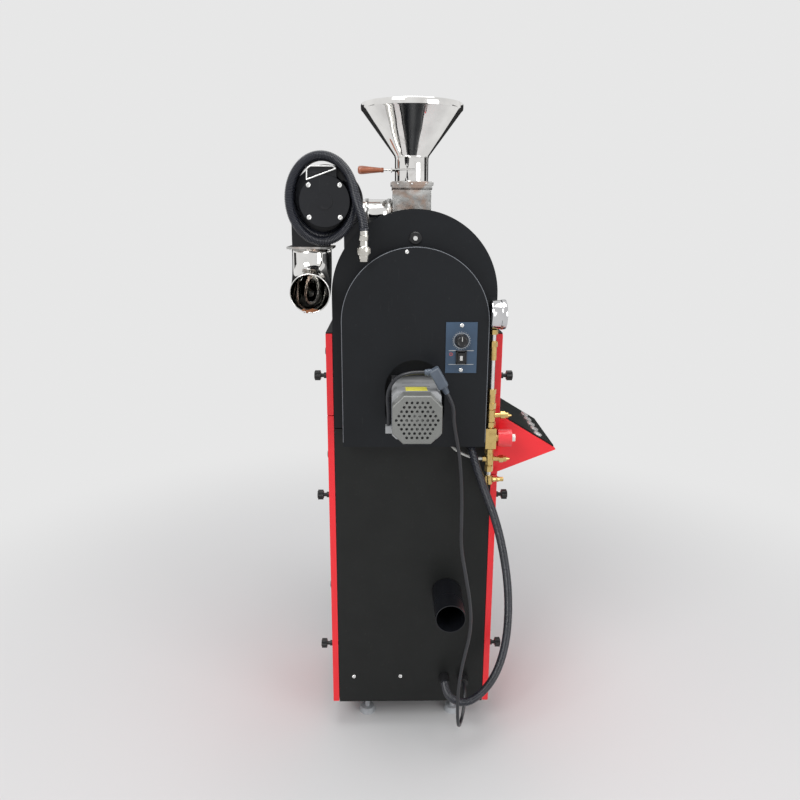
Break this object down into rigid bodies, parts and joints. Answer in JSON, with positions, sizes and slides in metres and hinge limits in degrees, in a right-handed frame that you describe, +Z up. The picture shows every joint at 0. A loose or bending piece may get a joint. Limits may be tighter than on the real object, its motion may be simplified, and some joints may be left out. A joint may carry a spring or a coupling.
{
  "type": "home coffee bean roaster",
  "caption": "Floor-standing drum coffee roaster with hopper, exhaust blower, chain drive, gas train, control box and stirred cooling tray, built as separate moving pieces.",
  "frame": {"origin": "centre of the footprint of the whole machine's bounding box, on the floor", "axes": "+Z up, +Y towards the operator's side with the cooling tray, +X to the right seen from behind, where the drive cover and the motor are"},
  "size_m": [0.5382, 0.767, 1.365],
  "materials": {
    "frame_black": "satin black paint",
    "foot_grey": "light grey disc",
    "plate_black": "smooth black paint",
    "panel_black": "satin black paint",
    "cover_red": "bright red paint",
    "black_plastic": "moulded",
    "drum_steel": "brushed",
    "sprocket_steel": "machined",
    "chain_steel": "oiled",
    "bearing_iron": "cast",
    "motor_aluminium": "die cast",
    "cap_grey": "silver grey paint",
    "controller_navy": "navy face",
    "rocker_plastic": "moulded rocker",
    "burner_steel": "plain steel",
    "brass_fittings": "turned brass",
    "coil_red": "moulded red",
    "gauge_chrome": "polished case",
    "tube_grey": "light grey tube",
    "mirror_steel": "mirror polished steel",
    "turned_wood": "turned and varnished",
    "chute_steel": "dull stainless sheet",
    "blower_black": "satin black paint",
    "impeller_grey": "pressed sheet",
    "sight_glass": "clear",
    "tray_steel": "rolled stainless sheet",
    "screen_steel": "perforated sheet",
    "face_black": "black panel",
    "gland_plastic": "moulded",
    "screw_steel": "bright plated",
    "conduit_black": "ribbed conduit",
    "cable_black": "soft jacket",
    "plug_plastic": "moulded",
    "connector_chrome": "knurled plating",
    "button_silver": "turned caps"
  },
  "bodies": {
    "frame": {"base_frame": "frame_black", "blower_conduit": "conduit_black", "blower_connector": "connector_chrome", "blower_housing": "blower_black", "blower_motor": "blower_black", "burner": "burner_steel", "cable_glands": "gland_plastic", "control_box": "cover_red", "control_face": "face_black", "cooling_fan": "blower_black", "cooling_tray": "tray_steel", "cover_knobs": "black_plastic", "drive_chain": "chain_steel", "drive_cover": "plate_black", "drum_bearings": "bearing_iron", "drum_casing": "plate_black", "exhaust_duct": "mirror_steel", "feet": "foot_grey", "front_panel": "panel_black", "front_plate": "plate_black", "gas_gauge": "gauge_chrome", "gas_train": "brass_fittings", "gas_tube": "tube_grey", "gear_motor": "motor_aluminium", "hopper": "mirror_steel", "hopper_chute": "chute_steel", "left_lower_cover": "cover_red", "left_upper_cover": "cover_red", "motor_cable": "cable_black", "motor_fan_cap": "cap_grey", "motor_plug": "plug_plastic", "outlet_elbow": "mirror_steel", "panel_screws": "screw_steel", "power_conduit": "conduit_black", "rear_panel": "panel_black", "rear_plate": "plate_black", "right_lower_cover": "cover_red", "right_upper_cover": "cover_red", "sight_glass": "sight_glass", "solenoid_coil": "coil_red", "speed_controller": "controller_navy", "tray_screen": "screen_steel"},
    "drum": {"drum": "drum_steel", "drum_sprocket": "sprocket_steel"},
    "motor_output": {"motor_sprocket": "sprocket_steel"},
    "gate": {"hopper_gate": "mirror_steel", "gate_handle": "turned_wood"},
    "speed_knob": {"speed_knob": "black_plastic"},
    "speed_switch": {"speed_switch": "rocker_plastic"},
    "discharge_door": {"discharge_door": "drum_steel"},
    "trier": {"trier": "turned_wood"},
    "stirring_arm": {"stirring_arm": "drum_steel"},
    "tray_gate": {"tray_gate": "tray_steel"},
    "blower_impeller": {"blower_impeller": "impeller_grey"},
    "cooling_impeller": {"cooling_impeller": "impeller_grey"},
    "button_1": {"button_1": "button_silver"},
    "button_2": {"button_2": "button_silver"},
    "button_3": {"button_3": "button_silver"},
    "button_4": {"button_4": "button_silver"},
    "button_5": {"button_5": "button_silver"}
  },
  "joints": [
    {"name": "drum_spin", "type": "hinge", "parent": "frame", "child": "drum", "pos_m": [-0.02709, 0, 0.986], "axis": [0, 1, 0], "continuous": true},
    {"name": "motor_spin", "type": "hinge", "parent": "frame", "child": "motor_output", "pos_m": [-0.02709, -0.1975, 0.781], "axis": [0, 1, 0], "continuous": true},
    {"name": "gate_slide", "type": "slide", "parent": "frame", "child": "gate", "axis": [-1, 0, 0], "range_m": [0, 0.066]},
    {"name": "knob_turn", "type": "hinge", "parent": "frame", "child": "speed_knob", "pos_m": [0.06111, -0.2635, 0.9043], "axis": [0, -1, 0], "range_deg": [-150, 150]},
    {"name": "switch_rock", "type": "hinge", "parent": "frame", "child": "speed_switch", "pos_m": [0.06111, -0.2635, 0.8723], "axis": [1, 0, 0], "range_deg": [-12, 0]},
    {"name": "door_swing", "type": "hinge", "parent": "frame", "child": "discharge_door", "pos_m": [-0.02709, 0.0895, 0.927], "axis": [1, 0, 0], "range_deg": [0, 70]},
    {"name": "trier_pull", "type": "slide", "parent": "frame", "child": "trier", "axis": [0, 1, 0], "range_m": [0, 0.075]},
    {"name": "arm_spin", "type": "hinge", "parent": "frame", "child": "stirring_arm", "pos_m": [-0.02709, 0.2325, 0.7], "axis": [0, 0, 1], "continuous": true},
    {"name": "tray_gate_lift", "type": "slide", "parent": "frame", "child": "tray_gate", "axis": [0, 0, 1], "range_m": [0, 0.04]},
    {"name": "impeller_spin", "type": "hinge", "parent": "frame", "child": "blower_impeller", "pos_m": [-0.19309, -0.1965, 1.159], "axis": [0, 1, 0], "continuous": true},
    {"name": "cooling_impeller_spin", "type": "hinge", "parent": "frame", "child": "cooling_impeller", "pos_m": [0.04791, -0.1015, 0.29], "axis": [1, 0, 0], "continuous": true},
    {"name": "button_1_press", "type": "slide", "parent": "frame", "child": "button_1", "axis": [-0.5206, 0, -0.8538], "range_m": [0, 0.002], "stiffness_N_per_m": 800},
    {"name": "button_2_press", "type": "slide", "parent": "frame", "child": "button_2", "axis": [-0.5206, 0, -0.8538], "range_m": [0, 0.002], "stiffness_N_per_m": 800},
    {"name": "button_3_press", "type": "slide", "parent": "frame", "child": "button_3", "axis": [-0.5206, 0, -0.8538], "range_m": [0, 0.002], "stiffness_N_per_m": 800},
    {"name": "button_4_press", "type": "slide", "parent": "frame", "child": "button_4", "axis": [-0.5206, 0, -0.8538], "range_m": [0, 0.002], "stiffness_N_per_m": 800},
    {"name": "button_5_press", "type": "slide", "parent": "frame", "child": "button_5", "axis": [-0.5206, 0, -0.8538], "range_m": [0, 0.002], "stiffness_N_per_m": 800}
  ],
  "couplings": [
    {"joint": "motor_spin", "follows": "drum_spin", "ratio": 3}
  ]
}
